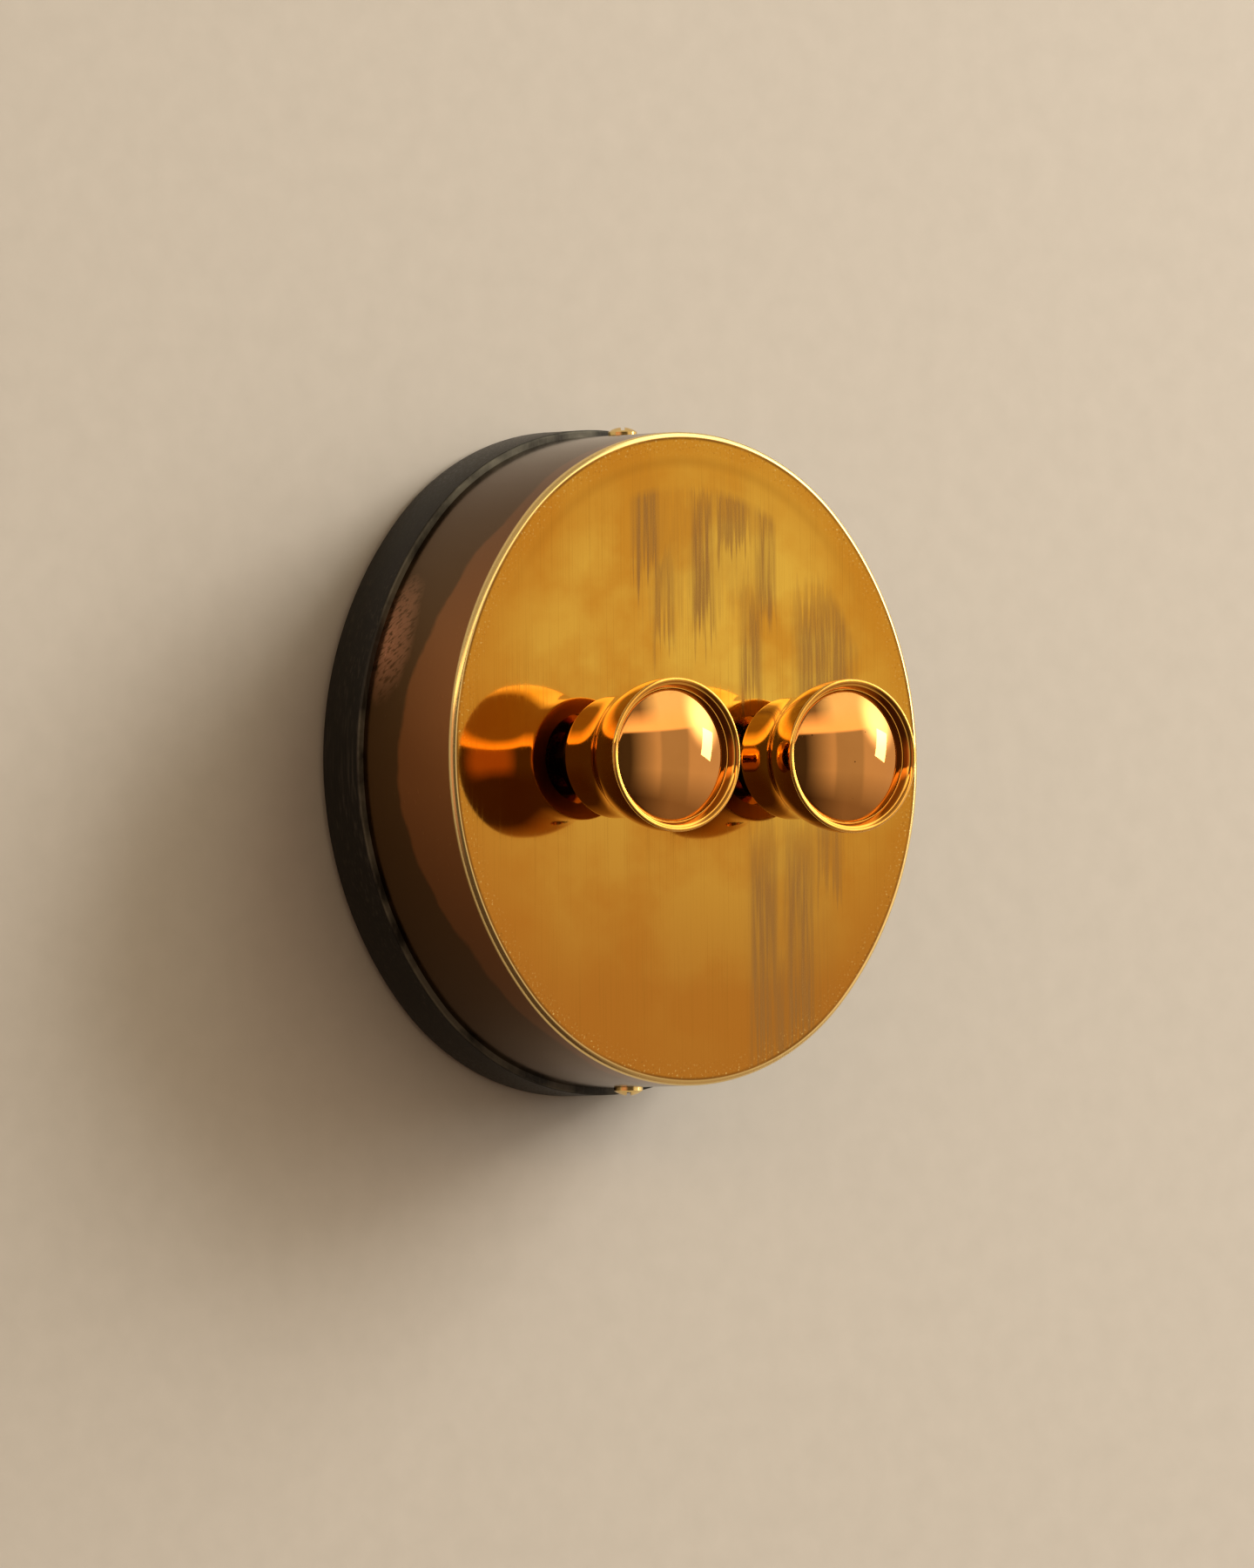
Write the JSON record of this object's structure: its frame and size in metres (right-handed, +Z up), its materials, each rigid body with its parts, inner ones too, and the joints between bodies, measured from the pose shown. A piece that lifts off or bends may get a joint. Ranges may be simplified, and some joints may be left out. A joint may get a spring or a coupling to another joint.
{
  "type": "double dimmer switch",
  "caption": "Oval brass-covered wall dimmer on a black moulded base, with push-and-turn knobs and a rear cable entry.",
  "frame": {"origin": "centre of the back face, on the wall, midway between the wall-fixing slots", "axes": "+Z up, +Y into the wall; the front and the knobs face -Y, +X is to the right seen from the front"},
  "size_m": [0.098, 0.0615, 0.1128],
  "materials": {
    "lacquer_worn_brass": "brushed and tarnished",
    "polished_knob_brass": "polished",
    "polished_dome_brass": "mirror polished",
    "screw_brass": "turned",
    "bush_brass": "turned",
    "terminal_brass": "machined",
    "nickel_steel": "nickel plated",
    "black_steel": "black oxide",
    "zinc_steel": "zinc plated",
    "spring_steel": "drawn",
    "aluminium_plate": "mill finish",
    "black_moulding": "satin",
    "case_moulding": "fine texture",
    "grey_moulding": "moulded",
    "nylon_white": "moulded",
    "board_laminate": "laminate",
    "choke_winding": "enamelled wire",
    "capacitor_case": "moulded",
    "triac_case": "moulded"
  },
  "bodies": {
    "housing": {"cover": "lacquer_worn_brass", "base": "black_moulding", "threaded_inserts": "terminal_brass", "cover_screw_top": "screw_brass", "cover_screw_bottom": "screw_brass", "earth_terminal": "terminal_brass", "earth_screw": "screw_brass", "bush_left": "bush_brass", "bush_washer_left": "black_steel", "bush_nut_left": "black_steel", "control_housing_left": "grey_moulding", "dimmer_case_left": "case_moulding", "heat_plate_left": "aluminium_plate", "plate_screws_left": "zinc_steel", "circuit_board_left": "board_laminate", "choke_left": "choke_winding", "capacitor_left": "capacitor_case", "triac_left": "triac_case", "terminal_block_left": "grey_moulding", "terminal_clamps_left": "terminal_brass", "terminal_screws_left": "zinc_steel", "push_spring_left": "spring_steel", "bush_right": "bush_brass", "bush_washer_right": "black_steel", "bush_nut_right": "black_steel", "control_housing_right": "grey_moulding", "dimmer_case_right": "case_moulding", "heat_plate_right": "aluminium_plate", "plate_screws_right": "zinc_steel", "circuit_board_right": "board_laminate", "choke_right": "choke_winding", "capacitor_right": "capacitor_case", "triac_right": "triac_case", "terminal_block_right": "grey_moulding", "terminal_clamps_right": "terminal_brass", "terminal_screws_right": "zinc_steel", "push_spring_right": "spring_steel"},
    "push_left": {"push_plunger_left": "nylon_white"},
    "knob_left": {"knob_left": "polished_knob_brass", "knob_dome_left": "polished_dome_brass", "grub_screw_left": "zinc_steel", "spindle_left": "nickel_steel", "retaining_clip_left": "spring_steel"},
    "push_right": {"push_plunger_right": "nylon_white"},
    "knob_right": {"knob_right": "polished_knob_brass", "knob_dome_right": "polished_dome_brass", "grub_screw_right": "zinc_steel", "spindle_right": "nickel_steel", "retaining_clip_right": "spring_steel"}
  },
  "joints": [
    {"name": "press_left", "type": "slide", "parent": "housing", "child": "push_left", "axis": [0, 1, 0], "range_m": [0, 0.0012], "stiffness_N_per_m": 1500, "deforming": ["push_spring_left"]},
    {"name": "turn_left", "type": "hinge", "parent": "push_left", "child": "knob_left", "pos_m": [-0.0179, -0.0426, 0], "axis": [0, 1, 0], "range_deg": [-140, 140]},
    {"name": "press_right", "type": "slide", "parent": "housing", "child": "push_right", "axis": [0, 1, 0], "range_m": [0, 0.0012], "stiffness_N_per_m": 1500, "deforming": ["push_spring_right"]},
    {"name": "turn_right", "type": "hinge", "parent": "push_right", "child": "knob_right", "pos_m": [0.0179, -0.0426, 0], "axis": [0, 1, 0], "range_deg": [-140, 140]}
  ]
}
